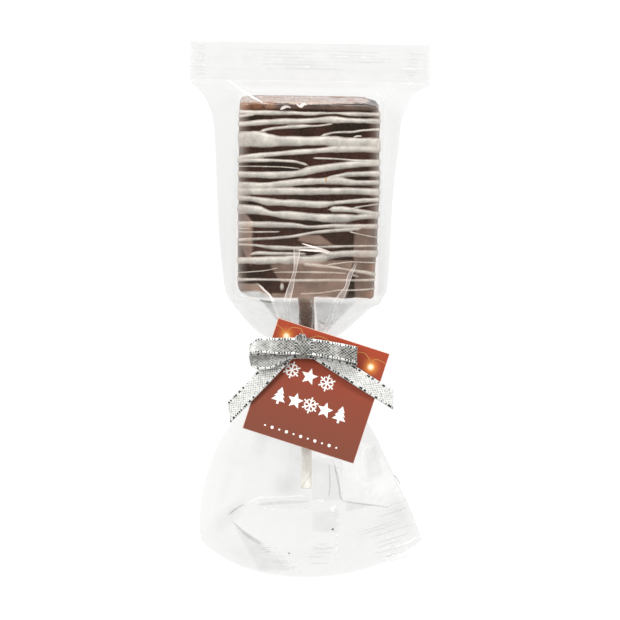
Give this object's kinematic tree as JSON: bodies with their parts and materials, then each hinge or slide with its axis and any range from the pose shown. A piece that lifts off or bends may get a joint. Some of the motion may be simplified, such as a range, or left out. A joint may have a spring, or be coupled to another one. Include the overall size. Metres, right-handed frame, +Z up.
{
  "type": "chocolate-covered crispy pop",
  "caption": "Chocolate-coated crispy bar on a stick with white drizzle, in a clear film bag tied with a silver ribbon bow and a gift tag.",
  "frame": {"origin": "on the surface that the pop lies on, below the middle of the whole", "axes": "+Z up and out of the drizzled side, +Y from the stick to the sealed header of the bag, +X to the right as the drizzled side is looked at"},
  "size_m": [0.092, 0.208, 0.0305],
  "materials": {
    "chocolate": "glossy chocolate coat with white drizzle",
    "paper_stick": "rolled white paper",
    "clear_film": "clear glossy film",
    "silver_ribbon": "woven metallic silver",
    "tag_card": "printed card"
  },
  "bodies": {
    "root": {"crispy_bar": "chocolate", "stick": "paper_stick", "film_bag": "clear_film", "ribbon_bow": "silver_ribbon", "gift_tag": "tag_card"}
  },
  "joints": []
}
